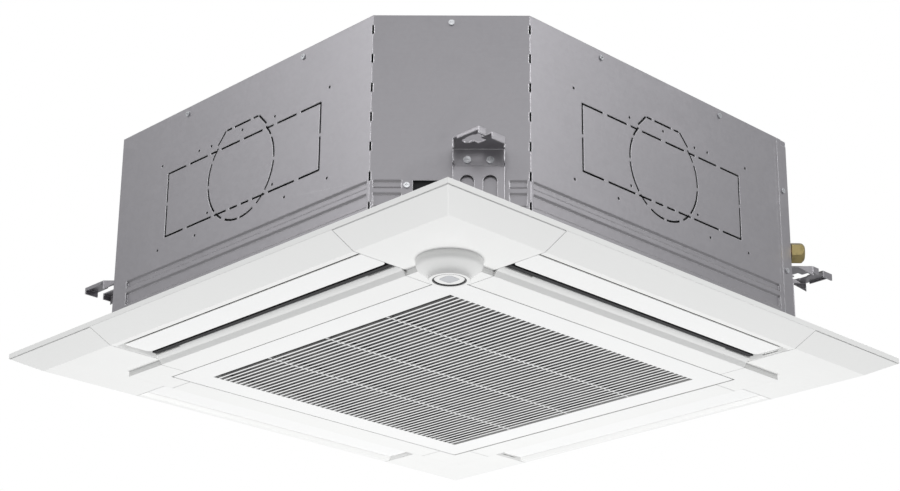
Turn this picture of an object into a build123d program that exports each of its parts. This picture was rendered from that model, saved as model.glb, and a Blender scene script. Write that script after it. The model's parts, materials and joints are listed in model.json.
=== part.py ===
from build123d import *
import math
import os

# A four-way ceiling cassette air conditioner, in millimetres.
# +Z is up into the ceiling void, the front is -Y and the right is +X. The origin is the centre of the
# four suspension slots, on the underside of the hanger shelves. Heights in this file are measured from
# the finished ceiling, which is the top of the panel's rim, and from_hangers() brings them to the origin.
# Sides run front, right, rear, left, and corners front right, rear right, rear left, front left.

# ---------------------------------------------------------------- casing
BODY_HALF = 420.0
BODY_TOP = 315.0
BODY_FOOT = 17.0
SHEET = 1.0
CUT_FOLDED = 148.0          # corner cut where a wall sheet is folded: front right and rear left
CUT_PLATE = 129.0           # corner cut with its own plate: rear right and front left
STRIP_START = 268.0         # where a wall sheet ends and the corner plate's strip begins
LAP = 18.0
FOOT_FLANGE = 8.0
ROOF_RIM = 14.0
TAB_WIDTH = 36.0
SCREW_TOP = 304.0
SCREW_ALONG = 130.0

# knockouts in each wall; Y is along the right wall, from its middle
DUCT_HALF = 170.0
DUCT_LOW = 121.0
DUCT_HIGH = 220.5
AIR_R = 73.0
AIR_MIDDLE = 174.0
SLOT = 3.0
PILOT_R = 2.0
BEADS = [(64.0, 76.0), (38.0, 58.0)]
BEAD_DEPTH = 3.0
FOLD_MARKS = 7
BEAD_SIDE = 3.0             # height that a bead's slanted side takes up
BESIDE_WINDOW = -62.0       # where the beads stop on the folded cut corner, on either side of its middle
BESIDE_HANGER = 76.0
WINDOW = (30.0, 75.0)

# ---------------------------------------------------------------- hanging
HANG = 119.0                # underside of the hanger shelves
BOLT_X = 390.0
BOLT_Y = 350.0
HANG_SLOT_R = 6.5
HANG_SLOT_LENGTH = 31.0
HANG_CROSS = (386.0, 400.0)
HANG_CROSS_HALF = 16.0
HANG_MOUTH = 11.0
HANG_THICK = 2.0
HANG_ALONG = (3.0, 71.0)    # the bracket's width along the cut corner, from the corner's middle
HANG_SHOULDER = 35.0        # how far the shelf's sides stand out from the cut corner
HANG_SCREWS = (22.0, 52.0)
HANG_SCREW_TOP = 103.0

# ---------------------------------------------------------------- panel
PANEL_HALF = 475.0
RIM = -8.0
BORDER_HALF = 437.0
BORDER = -27.0
STEP_HALF = 345.0
STEP = -35.0
SKIN = 3.0
SEAT = -0.4                 # where the duct liner rests on the frame, inside the ceiling cut-out
SEAT_HALF = 440.0
SEAM = 264.5                # corner panels begin here
SEAM_GAP = 0.4              # half of the gap at a corner panel's seam
OUTLET_HALF = 259.5
OUTLET_OUT = 428.0
OUTLET_KINK = (421.5, -22.0)  # where the outlet's outer wall turns from the mouth's bevel to its slope
GRILLE_GAP = 300.0
LIP_FOOT = (350.0, -28.4)   # where the step turns into the outlet's curved lip
LIP_OUT = 358.0
LIP = -22.4
NOTCH_LENGTH = 60.0
NOTCH_OUT = 357.0
DUCT_TOP_OUT = 405.0
PANEL_BOLT = 335.0
PANEL_BOLT_R = 2.5

# ---------------------------------------------------------------- vanes
VANE_HALF = 257.5
VANE_IN = 371.8
VANE_OUT = 417.3
VANE_FOOT = -23.0
VANE_THICK = 2.5
VANE_CORNER_R = 9.0
VANE_AXIS_OUT = 394.0
VANE_AXIS = -10.0
VANE_PIN_R = 2.5
RUNNING = 0.06              # radial clearance of a running fit

# ---------------------------------------------------------------- grille
GRILLE_HALF = 298.0
GRILLE_REAR = 297.0
GRILLE_SKIN = 2.5
FIELD_HALF = 255.0
SLAT_PITCH = 10.0
SLAT_COUNT = 50
SLAT_WIDTH = 3.4
SLAT_EDGE = 0.2             # height of a slat's edge, below its ridged back
SLAT_RIDGE = 1.1
RIB_X = 127.5
RIB_TOP = -31.5
HINGE_Y = 292.0
HINGE = -27.5
HINGE_X = 150.0
HINGE_PIN_R = 2.0
LATCH_X = 190.0
LATCH_Y = -281.0
LEDGE_HALF = 262.0
FILTER_HALF = 250.0
FILTER = -31.3              # underside of the filter tray

# ---------------------------------------------------------------- air path and fan
PAN = (20.0, 76.0)
WELL_HALF = 272.0
SHAFT_IN = 366.0
SHAFT_OUT = 402.0
SHAFT_END = 257.5
COIL_OUT = 338.0
COIL_IN = 300.0
COIL = (58.0, 303.0)
COIL_END = 238.0
COIL_SKIN = 1.2
LINER = 14.0                # inner face of the wall insulation, in from the casing's outside
FOAM_OUT = 4.5              # outer face of the insulation and of the tray, in from the casing's outside
FOAM_HALF = 262.0           # half of a wall sheet's length
FOAM_GAP = 0.2
FAN_R = 245.0
INLET_R = 168.0
BELL_R = 163.0
BLADES = 7
BLADE_BEND = 96.0
MOTOR_R = 64.0
MOTOR_FOOT = 92.0
AXLE_R = 5.0

# ---------------------------------------------------------------- pipes, at the rear right corner
GAS_ALONG = -75.0           # from the corner's middle; negative is towards the right wall
GAS = 140.0
GAS_R = 7.9
LIQUID_ALONG = -34.0
LIQUID = 156.0
LIQUID_R = 4.75
PIPE_INSIDE = -52.0         # where both pipes turn up into their headers
PIPE_TIP = 7.0
NUT_START = 2.0
NUT_LENGTH = 20.0
NUT_STEP = 7.0              # depth of the part of the nut that grips the unit's own pipe
GAS_BORE = 8.2              # radius of the nut's outer bore, which takes the pipe on site
LIQUID_BORE = 5.05
DRAIN_X = 235.0
DRAIN = 200.0
DRAIN_R = 16.0
HOSE_LANE = 380.0           # how far out the drain hose climbs
PUMP = (293.0, 339.5)
FLOAT = (331.0, 322.0)

# ---------------------------------------------------------------- control box
BOX_X = (-268.0, -200.0)
BOX_Y = (-170.0, 170.0)
BOX = (21.0, 60.0)
GROMMET_Y = (-60.0, -20.0)
GROMMET = 40.0
GROMMET_R = 9.0

# ---------------------------------------------------------------- presence sensor
SENSOR = 329.0              # its centre, out from the middle along X and along -Y
SENSOR_BASE_R = 44.0
SENSOR_WALL = 3.0
NECK_R = 27.0               # the housing's neck, and the round opening that the head turns in
NECK_BORE = 22.4
NECK_FOOT = -54.2
HEAD_R = 20.3
HEAD_FOOT = -52.6
LENS_HALF = 10.5
LENS_SEAT = -51.4

CORNERS = ["front_right", "rear_right", "rear_left", "front_left"]
SIDES = ["front", "right", "rear", "left"]
HALF_TURN = Rot(0, 0, 180)


# ================================================================ helpers
def slab(x, y, z):
    """A block between x[0] and x[1], y[0] and y[1], z[0] and z[1]."""
    middle = Pos((x[0] + x[1]) / 2, (y[0] + y[1]) / 2, (z[0] + z[1]) / 2)
    return middle * Box(x[1] - x[0], y[1] - y[0], z[1] - z[0])


def prism(points, z):
    """A plan outline raised from z[0] to z[1]."""
    face = make_face(Polyline(*points, close=True))
    return Pos(0, 0, z[0]) * extrude(face, z[1] - z[0], dir=(0, 0, 1))


def post(x, y, r, z):
    """An upright round bar."""
    return Pos(x, y, (z[0] + z[1]) / 2) * Cylinder(r, z[1] - z[0])


def rod(axis, centre, r, length):
    """A round bar along X or Y, centred on a point."""
    turn = Rot(0, 90, 0) if axis == "X" else Rot(90, 0, 0)
    return Pos(*centre) * turn * Cylinder(r, length)


def strut(start, end, r):
    """A round bar from one point to another."""
    path = Line(start, end)
    return sweep(Plane(origin=path @ 0, z_dir=path % 0) * Circle(r), path=path)


def turned(points):
    """A solid of revolution about Z from (radius, height) points."""
    face = make_face(Polyline(*[(r, 0, z) for r, z in points], close=True))
    return revolve(face, Axis.Z)


def side_bar(points, along):
    """A section of (distance out, height) points, run along the front side."""
    face = make_face(Polyline(*[(along[0], -out, z) for out, z in points], close=True))
    return extrude(face, along[1] - along[0], dir=(1, 0, 0))


def out_bar(points, out):
    """A section of (along the front side, height) points, run outwards."""
    face = make_face(Polyline(*[(along, -out[0], z) for along, z in points], close=True))
    return extrude(face, out[1] - out[0], dir=(0, -1, 0))


def bent_tube(points, bend_r, r, bore=0.0):
    """A tube with round bends through the given points."""
    path = FilletPolyline(*points, radius=bend_r)
    section = Circle(r) - Circle(bore) if bore else Circle(r)
    return sweep(Plane(origin=path @ 0, z_dir=path % 0) * section, path=path)


def quarter(shape, turns):
    return Rot(0, 0, 90 * turns) * shape


def four_sides(shape):
    return [quarter(shape, turns) for turns in range(4)]


def across_corner(shape):
    """The mirror image about the diagonal through the front right corner."""
    return mirror(shape, about=Plane(origin=(0, 0, 0), z_dir=(1, 1, 0)))


def front_to_rear(shape):
    return mirror(shape, about=Plane.XZ)


def left_and_right(shape):
    return [shape, mirror(shape, about=Plane.YZ)]


def ring(half, hole, z):
    """A square ring."""
    return slab((-half, half), (-half, half), z) - slab((-hole, hole), (-hole, hole), (z[0] - 1, z[1] + 1))


def cut_square(half, cuts):
    """Outline of a square with cut corners: front right, rear right, rear left, front left."""
    a, b, c, d = cuts
    return [
        (half - a, -half), (half, -half + a), (half, half - b), (half - b, half),
        (-half + c, half), (-half, half - c), (-half, -half + d), (-half + d, -half),
    ]


def body_outline(inset):
    """The casing's outline, set in by the same distance all round."""
    shrink = inset * (2 - math.sqrt(2))
    cuts = [CUT_FOLDED - shrink, CUT_PLATE - shrink] * 2
    return cut_square(BODY_HALF - inset, cuts)


def front_right_square(low, high, z):
    """A square block at the front right, between two distances out."""
    return slab((low, high), (-high, -low), z)


def on_cut(along, out, z, cut=CUT_FOLDED):
    """A point by its place along the front right cut corner, its distance outside it and its height."""
    plane = (2 * BODY_HALF - cut) / math.sqrt(2)
    return ((plane + out + along) / math.sqrt(2), (-plane - out + along) / math.sqrt(2), z)


def cut_block(along, out, z, cut=CUT_FOLDED):
    """A block set square to the front right cut corner."""
    middle = on_cut((along[0] + along[1]) / 2, (out[0] + out[1]) / 2, (z[0] + z[1]) / 2, cut)
    return Pos(*middle) * Rot(0, 0, 45) * Box(along[1] - along[0], out[1] - out[0], z[1] - z[0])


def facing_cut(along, z, out=0.0, cut=CUT_FOLDED):
    """A place on the front right cut corner whose local +Z points out."""
    return Pos(*on_cut(along, out, z, cut)) * Rot(0, 0, -45) * Rot(0, 90, 0)


def facing_right(y, z):
    """A place on the right wall whose local +Z points out."""
    return Pos(BODY_HALF, y, z) * Rot(0, 90, 0)


def from_hangers(shape):
    """Move a shape so that its heights are measured from the hanger shelves."""
    return Pos(0, 0, -HANG) * shape


def save(name, shape):
    """Write one node."""
    export_step(from_hangers(shape), f"parts/{name}.step")


def save_group(name, solids):
    """Write one node of several separate solids."""
    export_step(Compound(children=[from_hangers(solid) for solid in solids]), f"parts/{name}.step")


# ================================================================ casing
def dash(y, z):
    """A slot through the right wall, from one point to another."""
    length = math.hypot(y[1] - y[0], z[1] - z[0])
    tilt = math.degrees(math.atan2(z[1] - z[0], y[1] - y[0]))
    place = Pos(BODY_HALF, (y[0] + y[1]) / 2, (z[0] + z[1]) / 2)
    return place * Rot(tilt, 0, 0) * Box(4 * SHEET, length, SLOT)


def arc_dash(start, end):
    """A slot along the fresh air knockout's circle, between two angles in degrees from +Y."""
    middle = (BODY_HALF, 0, AIR_MIDDLE)
    band = rod("X", middle, AIR_R + SLOT / 2, 4 * SHEET) - rod("X", middle, AIR_R - SLOT / 2, 6 * SHEET)
    near = BODY_HALF - 3 * SHEET
    reach = 2 * AIR_R
    rays = [math.radians(start), math.radians((start + end) / 2), math.radians(end)]
    tips = [(near, reach * math.cos(a), AIR_MIDDLE + reach * math.sin(a)) for a in rays]
    face = make_face(Polyline((near, 0, AIR_MIDDLE), *tips, close=True))
    return band & extrude(face, 6 * SHEET, dir=(1, 0, 0))


def knockouts():
    """Everything cut through the right wall: the two dashed outlines and the pilot holes."""
    cuts = []
    for sign in (-1, 1):
        for start, end in [(4.5, 46), (54.5, 70), (78, 119), (128, DUCT_HALF)]:
            cuts.append(dash((sign * start, sign * end), (DUCT_HIGH, DUCT_HIGH)))
        for start, end in [(4, 21), (29, 56), (63, 119), (128, DUCT_HALF)]:
            cuts.append(dash((sign * start, sign * end), (DUCT_LOW, DUCT_LOW)))
        for low, high in [(DUCT_LOW - 1, 170), (175, DUCT_HIGH + 1)]:
            cuts.append(dash((sign * DUCT_HALF, sign * DUCT_HALF), (low, high)))
        cuts.append(dash((sign * 54, sign * 37), (228.5, 246)))
        cuts.append(dash((sign * 35, sign * 24), (246, 246)))
    cuts.append(dash((-18, 18), (246, 246)))
    for start, end in [(-88, -65), (-58, -44), (-40, -6), (-2, 24), (28, 43)]:
        cuts.append(arc_dash(start, end))
        cuts.append(arc_dash(180 - end, 180 - start))
    pilots = [(0, 236), (-72, 233), (70, 233), (99, 235)]
    for y, z in [(187, 104), (187, 238), (99, 103), (72, 130)]:
        pilots += [(y, z), (-y, z)]
    cuts += [rod("X", (BODY_HALF, y, z), PILOT_R, 4 * SHEET) for y, z in pilots]
    return cuts


def bead_strip(ends):
    """The two pressed beads as a strip of sheet along Y, closed at its ends, with +X out of the wall."""
    outer = []
    for low, high in BEADS:
        outer += [(0, high), (-BEAD_DEPTH, high - BEAD_SIDE), (-BEAD_DEPTH, low + BEAD_SIDE), (0, low)]
    inner = [(x - SHEET, z) for x, z in reversed(outer)]
    face = make_face(Polyline(*[(x, ends[0], z) for x, z in outer + inner], close=True))
    strip = extrude(face, ends[1] - ends[0], dir=(0, 1, 0))
    for low, high in BEADS:
        for near, far in [(ends[0], ends[0] + SHEET), (ends[1] - SHEET, ends[1])]:
            strip += slab((-BEAD_DEPTH - SHEET, 0), (near, far), (low, high))
    return strip


def press_beads(wall):
    """Press the beads into the front wall, the right wall and the cut corner between them."""
    right = Pos(BODY_HALF, 0, 0)
    corner = Pos(*on_cut(0, 0, 0)) * Rot(0, 0, -45)
    fold = BODY_HALF - CUT_FOLDED
    corner_half = CUT_FOLDED / math.sqrt(2)
    runs = [
        (right, (-fold + 4, STRIP_START - 8)),
        (corner, (4 - corner_half, BESIDE_WINDOW)),
        (corner, (BESIDE_HANGER, corner_half - 4)),
    ]
    for place, ends in runs:
        flat = place * slab((-2 * SHEET, SHEET), ends, (BEADS[1][0], BEADS[0][1]))
        strip = place * bead_strip(ends)
        if place is right:
            wall = wall - across_corner(flat) + across_corner(strip)
        wall = wall - flat + strip
    return wall


def fold_marks():
    """Perforations down the fold between the right wall and the cut corner."""
    pitch = (BODY_TOP - BODY_FOOT) / FOLD_MARKS
    fold = Pos(BODY_HALF, -(BODY_HALF - CUT_FOLDED), BODY_FOOT + pitch / 2)
    return [Pos(0, 0, pitch * step) * fold * Rot(0, 0, -22.5) * Box(5, 3, 13) for step in range(FOLD_MARKS)]


def foot_tab(cut, depth):
    """The tab turned in at the foot of a front right cut corner, with the hole for a panel bolt."""
    tab = cut_block((-TAB_WIDTH / 2, TAB_WIDTH / 2), (-depth, -0.7), (BODY_FOOT, BODY_FOOT + SHEET), cut)
    return tab - panel_bolt_hole()


def panel_bolt_hole():
    return post(PANEL_BOLT, -PANEL_BOLT, PANEL_BOLT_R + 0.3, (-10, 36))


def casing_wall():
    """The sheet folded round the front right corner: front wall, cut corner and right wall."""
    inner = BODY_HALF - SHEET
    turn_in = SHEET * math.tan(math.radians(22.5))
    fold = BODY_HALF - CUT_FOLDED
    far = BODY_HALF - CUT_PLATE + 0.5
    foot = (BODY_FOOT, BODY_FOOT + SHEET)
    wall = prism([
        (-far, -BODY_HALF), (fold, -BODY_HALF), (BODY_HALF, -fold), (BODY_HALF, STRIP_START),
        (inner, STRIP_START), (inner, -fold + turn_in), (fold - turn_in, -inner), (-far, -inner),
    ], (BODY_FOOT, BODY_TOP))
    lap = slab((inner - SHEET, inner), (STRIP_START - 6, STRIP_START + LAP), (80, BODY_TOP - ROOF_RIM - 1))
    flanges = slab((inner - FOOT_FLANGE, inner), (-fold + 10, STRIP_START - 20), foot)
    flanges += slab((-far + 20, fold - 10), (-inner, -inner + FOOT_FLANGE), foot)
    wall = wall + lap + flanges + foot_tab(CUT_FOLDED, 30.0)
    wall = press_beads(wall)
    cuts = knockouts() + fold_marks()
    wall = wall - cuts - [across_corner(shape) for shape in cuts]
    return wall - cut_block((-48, -2), (-3, 2), WINDOW)


def corner_plate():
    """The rear right corner plate: its strip on the right wall, the cut corner and a lap on the rear wall."""
    inner = BODY_HALF - SHEET
    slant = 2 * BODY_HALF - CUT_PLATE
    slant_in = slant - math.sqrt(2) * SHEET
    start = STRIP_START + 0.8
    plate = prism([
        (BODY_HALF, start), (BODY_HALF, slant - BODY_HALF), (slant - BODY_HALF + SHEET, inner),
        (slant_in - inner, inner), (inner, slant_in - inner), (inner, start),
    ], (BODY_FOOT, BODY_TOP))
    plate += prism([
        (slant_in - inner, inner), (slant_in - inner - LAP, inner), (slant_in - inner - LAP, inner - SHEET),
        (slant_in - inner + SHEET, inner - SHEET),
    ], (80, BODY_TOP - ROOF_RIM - 1))
    fold = slant - BODY_HALF
    clip = slab((BODY_HALF - 3, BODY_HALF + 1), (fold - 12, fold + 1), (BODY_TOP - 9, BODY_TOP + 1))
    return plate - clip + front_to_rear(foot_tab(CUT_PLATE, 44.0))


def pipe_holes(margin, length):
    """Round holes about both pipes where they cross the rear right corner plate."""
    gas = facing_cut(-GAS_ALONG, GAS, cut=CUT_PLATE) * Cylinder(GAS_R + margin, length)
    liquid = facing_cut(-LIQUID_ALONG, LIQUID, cut=CUT_PLATE) * Cylinder(LIQUID_R + margin, length)
    return front_to_rear(gas) + front_to_rear(liquid)


def drain_hole(margin):
    return rod("Y", (DRAIN_X, BODY_HALF, DRAIN), DRAIN_R + 2.5 + margin, 60)


def top_plate():
    """The roof sheet, its rim turned down inside the walls, with the motor's four stud holes."""
    outline = body_outline(SHEET + 0.2)
    roof = prism(outline, (BODY_TOP - ROOF_RIM, BODY_TOP))
    roof -= prism(body_outline(2 * SHEET + 0.2), (BODY_TOP - ROOF_RIM - 1, BODY_TOP - SHEET))
    return roof - [place * post(0, 0, 3.2, (BODY_TOP - 5, BODY_TOP + 5)) for place in motor_feet()]


def motor_feet():
    return [Rot(0, 0, 45 + 90 * turn) * Pos(MOTOR_FOOT, 0, 0) for turn in range(4)]


def screw(place, head_r=4.0, length=8.0):
    """A pan head screw with a cross slot: its head stands on the face, its shank runs in."""
    body = Pos(0, 0, 1.1) * Cylinder(head_r, 2.2) + Pos(0, 0, -length / 2) * Cylinder(1.9, length)
    cross = Pos(0, 0, 2.0) * Box(0.9, 5.0, 1.0) + Pos(0, 0, 2.0) * Box(5.0, 0.9, 1.0)
    return place * (body - cross)


def bracket_screw(along, cut):
    return screw(facing_cut(along, HANG_SCREW_TOP, HANG_THICK, cut), head_r=5.0)


def casing_screws():
    """Screws of the roof, the corner strips and the hanger brackets, as separate solids."""
    screws = []
    for sign in (-1, 1):
        screws += four_sides(screw(facing_right(sign * SCREW_ALONG, SCREW_TOP)))
    pairs = [screw(facing_cut(0, SCREW_TOP)), screw(facing_cut(-56, 68), length=5)]
    pairs += [front_to_rear(screw(facing_cut(-40, SCREW_TOP, cut=CUT_PLATE)))]
    pairs += [screw(facing_right(STRIP_START + 10, z)) for z in (102, 230)]
    for along in HANG_SCREWS:
        pairs.append(bracket_screw(along, CUT_FOLDED))
        pairs.append(front_to_rear(bracket_screw(along, CUT_PLATE)))
    return screws + pairs + [HALF_TURN * one for one in pairs]


def hanger(cut):
    """The front right hanger: a plate on the cut corner, and a shelf with a slot open to the side."""
    a, b = HANG_ALONG
    top = HANG + HANG_THICK
    foot_out = 1.5 * HANG_THICK
    plate = cut_block((a, b), (0, HANG_THICK), (94, top), cut)
    plate += cut_block((a, b), (0, foot_out + HANG_THICK), (90, 94), cut)
    foot = cut_block((a, b), (foot_out, foot_out + HANG_THICK), (42, 90), cut)
    for along in HANG_SCREWS:
        foot -= cut_block((along - 9, along + 9), (0, 9), (48, 72), cut)
        foot -= facing_cut(along, 72, 4, cut) * Cylinder(9, 8)
    left = on_cut(a, HANG_SHOULDER, 0, cut)
    right = on_cut(b, HANG_SHOULDER, 0, cut)
    outline = [on_cut(a, 0, 0, cut)[:2], left[:2], (right[0], left[1]), right[:2], on_cut(b, 0, 0, cut)[:2]]
    shelf = prism(outline, (HANG, top))
    shelf += slab((right[0] - HANG_THICK, right[0]), (left[1], right[1]), (HANG - 8, top))
    shelf += slab((left[0] + 8, right[0]), (left[1], left[1] + HANG_THICK), (HANG - 3, top))
    for along in (a, b - HANG_THICK):
        blade = cut_block((along, along + HANG_THICK), (0, HANG_SHOULDER), (94, top), cut)
        slope = Rot(0, 0, -45) * Rot(0, 31, 0) * Box(90, 12, 20)
        shelf += blade - Pos(*on_cut(along + 1, HANG_SHOULDER, 94, cut)) * slope
    body = plate + foot + shelf - hang_slot()
    return body - [facing_cut(along, HANG_SCREW_TOP, 0, cut) * Cylinder(2.0, 12) for along in HANG_SCREWS]


def hang_slot():
    """The suspension slot: a round-ended slot along X, a bar across it and a mouth out to the side."""
    z = (HANG - 10, HANG + 10)
    straight = HANG_SLOT_LENGTH / 2 - HANG_SLOT_R
    slot = slab((BOLT_X - straight, BOLT_X + straight), (-BOLT_Y - HANG_SLOT_R, -BOLT_Y + HANG_SLOT_R), z)
    slot += [post(BOLT_X + sign * straight, -BOLT_Y, HANG_SLOT_R, z) for sign in (-1, 1)]
    cross = slab(HANG_CROSS, (-BOLT_Y - 8, -BOLT_Y + HANG_CROSS_HALF), z)
    mouth = slab((BOLT_X, BOLT_X + 60), (-BOLT_Y - HANG_MOUTH / 2, -BOLT_Y + HANG_MOUTH / 2), z)
    return slot + cross + mouth


def hangers():
    """Hangers by corner: the front right one, its mirror image behind it, and both turned half round."""
    folded = hanger(CUT_FOLDED)
    plated = front_to_rear(hanger(CUT_PLATE))
    return [folded, plated, HALF_TURN * folded, HALF_TURN * plated]


# ================================================================ inside the casing
def screw_recesses():
    """Hollows in the insulation behind the screws that come through the walls."""
    holes = [quarter(facing_right(sign * SCREW_ALONG, SCREW_TOP) * Cylinder(3, 24), turn)
             for sign in (-1, 1) for turn in range(4)]
    pairs = [facing_cut(0, SCREW_TOP) * Cylinder(3, 26)]
    pairs += [front_to_rear(facing_cut(-40, SCREW_TOP, cut=CUT_PLATE) * Cylinder(3, 26))]
    pairs += [facing_right(STRIP_START + 10, z) * Cylinder(3, 24) for z in (102, 230)]
    for along in HANG_SCREWS:
        pairs.append(facing_cut(along, HANG_SCREW_TOP) * Cylinder(3, 26))
        pairs.append(front_to_rear(facing_cut(along, HANG_SCREW_TOP, cut=CUT_PLATE) * Cylinder(3, 26)))
    return holes + pairs + [HALF_TURN * one for one in pairs]


def foam_liner():
    """The insulation glued inside the casing: a roof sheet, four wall sheets and four corner sheets."""
    roof = prism(body_outline(FOAM_OUT), (COIL[1], BODY_TOP - SHEET - FOAM_GAP))
    roof -= post(0, 0, 112, (COIL[1] - 1, BODY_TOP))
    walls = prism(body_outline(FOAM_OUT), (PAN[1], COIL[1] - FOAM_GAP))
    walls -= prism(body_outline(LINER), (PAN[1] - 1, COIL[1]))
    walls = walls - pipe_holes(3, 60) - drain_hole(0.5) - screw_recesses()
    side = slab((-FOAM_HALF, FOAM_HALF), (-BODY_HALF, -BODY_HALF / 2), (0, BODY_TOP))
    corner = front_right_square(FOAM_HALF + FOAM_GAP, BODY_HALF, (0, BODY_TOP))
    return [roof - screw_recesses()] + [walls & place for place in four_sides(side) + four_sides(corner)]


def drain_pan():
    """The moulded tray under the coil, and the blocks that close the four air shafts round it."""
    low_screw = cut_block((-60, -52), (-12, 0), (60, PAN[1] + 1))
    room = prism(body_outline(FOAM_OUT), PAN) - low_screw - HALF_TURN * low_screw
    room -= four_sides(panel_bolt_hole())
    channel = ring(COIL_OUT + 8, COIL_IN - 12, (COIL[0], PAN[1] + 1)) & prism(body_outline(LINER), (0, 100))
    pocket = slab((272, 362), (300, 362), (40, PAN[1] + 1)) & prism(body_outline(24), (0, 100))
    tray = (room & ring(SHAFT_IN, WELL_HALF, PAN)) - channel - pocket
    wall = slab((-SHAFT_END, SHAFT_END), (-BODY_HALF, -SHAFT_OUT), PAN)
    block = slab((SHAFT_END + FOAM_GAP, BODY_HALF), (-BODY_HALF, -SHAFT_IN - FOAM_GAP), PAN)
    blocks = [room & place for piece in [wall] + left_and_right(block) for place in four_sides(piece)]
    return [tray] + blocks


def coil_block(inset):
    """The coil's square ring, open at the pipe corner, set in by the same distance all round."""
    z = (COIL[0] + inset, COIL[1] - inset)
    out, inner, end = COIL_OUT - inset, COIL_IN + inset, COIL_END - inset
    block = slab((-out, out), (-out, out), z)
    block = fillet(block.edges().filter_by(Axis.Z), 72 - inset)
    hollow = slab((-inner, inner), (-inner, inner), (COIL[0] - 1, COIL[1] + 1))
    hollow = fillet(hollow.edges().filter_by(Axis.Z), 34 + inset)
    return block - hollow - slab((end, 400), (end, 400), (COIL[0] - 1, COIL[1] + 1))


def coil():
    """The heat exchanger: a closed skin round the fins, so that it weighs what the finned block weighs."""
    return coil_block(0) - coil_block(COIL_SKIN)


def to_rear_end(shape):
    """From the coil's end on the right side to its end on the rear side."""
    return mirror(shape, about=Plane(origin=(0, 0, 0), z_dir=(1, -1, 0)))


def coil_end_plates():
    plate = slab((COIL_IN - 4, COIL_OUT + 4), (COIL_END, COIL_END + 1.5), COIL)
    return [plate, to_rear_end(plate)]


def return_bends():
    """Hairpin bends outside both end plates, one above another."""
    bends = []
    face = COIL_END + 1.5
    for step in range(6):
        torus = Pos(COIL_OUT - 12, face, COIL[0] + 26 + 34 * step) * Rot(0, 90, 0) * Torus(8.5, 3.5)
        bend = torus & slab((300, 350), (face, face + 20), COIL)
        bends += [bend, to_rear_end(bend)]
    return bends


def pipe_point(along, out, z):
    """A point by its place on the rear right corner plate; along is negative towards the right wall."""
    x, y, _ = on_cut(-along, out, z, CUT_PLATE)
    return (x, -y, z)


def pipe(along, z, r, bend_r, top):
    """A pipe from its header out through the corner plate."""
    tip = pipe_point(along, PIPE_TIP, z)
    inside = pipe_point(along, PIPE_INSIDE, z)
    return bent_tube([(inside[0], inside[1], top), inside, tip], bend_r, r, r - 0.9)


def gas_header():
    """The gas header and its feeders into the coil's end on the right side."""
    x, y, _ = pipe_point(GAS_ALONG, PIPE_INSIDE, 0)
    header = post(x, y, 11, (GAS + 22, COIL[1] - 10))
    face = COIL_END + 1.5
    for z in (169, 203, 237, 271):
        header += strut((x - 4, y, z), (306, face, z), 3.2) & slab((200, 500), (face, 400), COIL)
    return header


def liquid_header():
    """The liquid header and its feeders into the coil's end on the rear side."""
    x, y, _ = pipe_point(LIQUID_ALONG, PIPE_INSIDE, 0)
    header = post(x, y, 8, (LIQUID + 20, COIL[1] - 10))
    face = COIL_END + 1.5
    for z in (203, 237, 271):
        header += strut((x - 2, y, z), (face - 2, 306, z), 2.4) & slab((face, 400), (200, 500), COIL)
    return header


def flare_nut(along, z, pipe_r, bore, flats):
    """A hexagon nut with a rounded end: it grips the tip of a pipe and is bored wider beyond it."""
    across = flats / math.sqrt(3)
    nut = extrude(RegularPolygon(across, 6), NUT_LENGTH, dir=(0, 0, 1))
    dome = turned([
        (0, 0), (across + 1, 0), (across + 1, NUT_LENGTH - 8), (across - 1, NUT_LENGTH - 4),
        (across - 4, NUT_LENGTH - 1), (across - 5.5, NUT_LENGTH), (0, NUT_LENGTH),
    ])
    nut = (nut & dome) - Cylinder(pipe_r, 4 * NUT_LENGTH) - post(0, 0, bore, (NUT_STEP, 2 * NUT_LENGTH))
    return front_to_rear(facing_cut(-along, z, NUT_START, CUT_PLATE) * nut)


def motor():
    """The fan motor: a can hung from a round flange, its shaft hole open downwards."""
    body = turned([
        (AXLE_R + RUNNING, 228), (MOTOR_R - 12, 228), (MOTOR_R, 238), (MOTOR_R, 299), (106, 299), (106, 302),
        (0, 302), (0, 280), (AXLE_R + RUNNING, 280),
    ])
    return body


def motor_mounts():
    """Four rubber bushes between the motor's flange and the roof."""
    return [place * post(0, 0, 11, (302, BODY_TOP - SHEET)) for place in motor_feet()]


def shroud_height(r):
    """Height of the fan shroud's lower face: it sweeps up from the inlet to the rim."""
    share = (r - INLET_R) / (FAN_R - INLET_R)
    return 100 + 46 * share ** 1.6


def fan():
    """The turbo fan: a hub cup round the motor, a back plate, blades and a shroud."""
    wheel = turned([
        (AXLE_R, 178), (20, 178), (24, 196), (62, 200), (106, 258), (FAN_R, 260), (FAN_R, 263),
        (103, 263), (60, 204), (AXLE_R, 204),
    ])
    radii = [180, 195, 212, 230, FAN_R]
    upper = [(r, shroud_height(r) + 3.2) for r in radii]
    lower = [(r, shroud_height(r)) for r in reversed(radii)]
    wheel += turned([(INLET_R, 92), (INLET_R, 103)] + upper + lower + [(INLET_R + 3, 98), (INLET_R + 3, 92)])
    inlet = [(150, 112), (INLET_R + 1, 106)]
    passage = turned(inlet + [(r, shroud_height(r) + 1.6) for r in radii] + [(FAN_R, 261.5), (150, 261)])
    for number in range(BLADES):
        wheel += Rot(0, 0, 360 / BLADES * number) * (blade_sheet() & passage)
    return wheel


def blade_sheet():
    """One blade as an upright sheet bent to an arc, before it is trimmed to the passage."""
    centre = Pos(INLET_R, 78, 180)
    sheet = centre * (Cylinder(BLADE_BEND + 2, 200) - Cylinder(BLADE_BEND - 2, 210))
    return sheet & slab((130, 262), (-40, 74), (90, 270))


def fan_nut():
    nut = Pos(0, 0, 169) * extrude(RegularPolygon(9.2, 6), 8, dir=(0, 0, 1))
    return nut + post(0, 0, 12, (177, 178)) - post(0, 0, AXLE_R, (160, 190))


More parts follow.
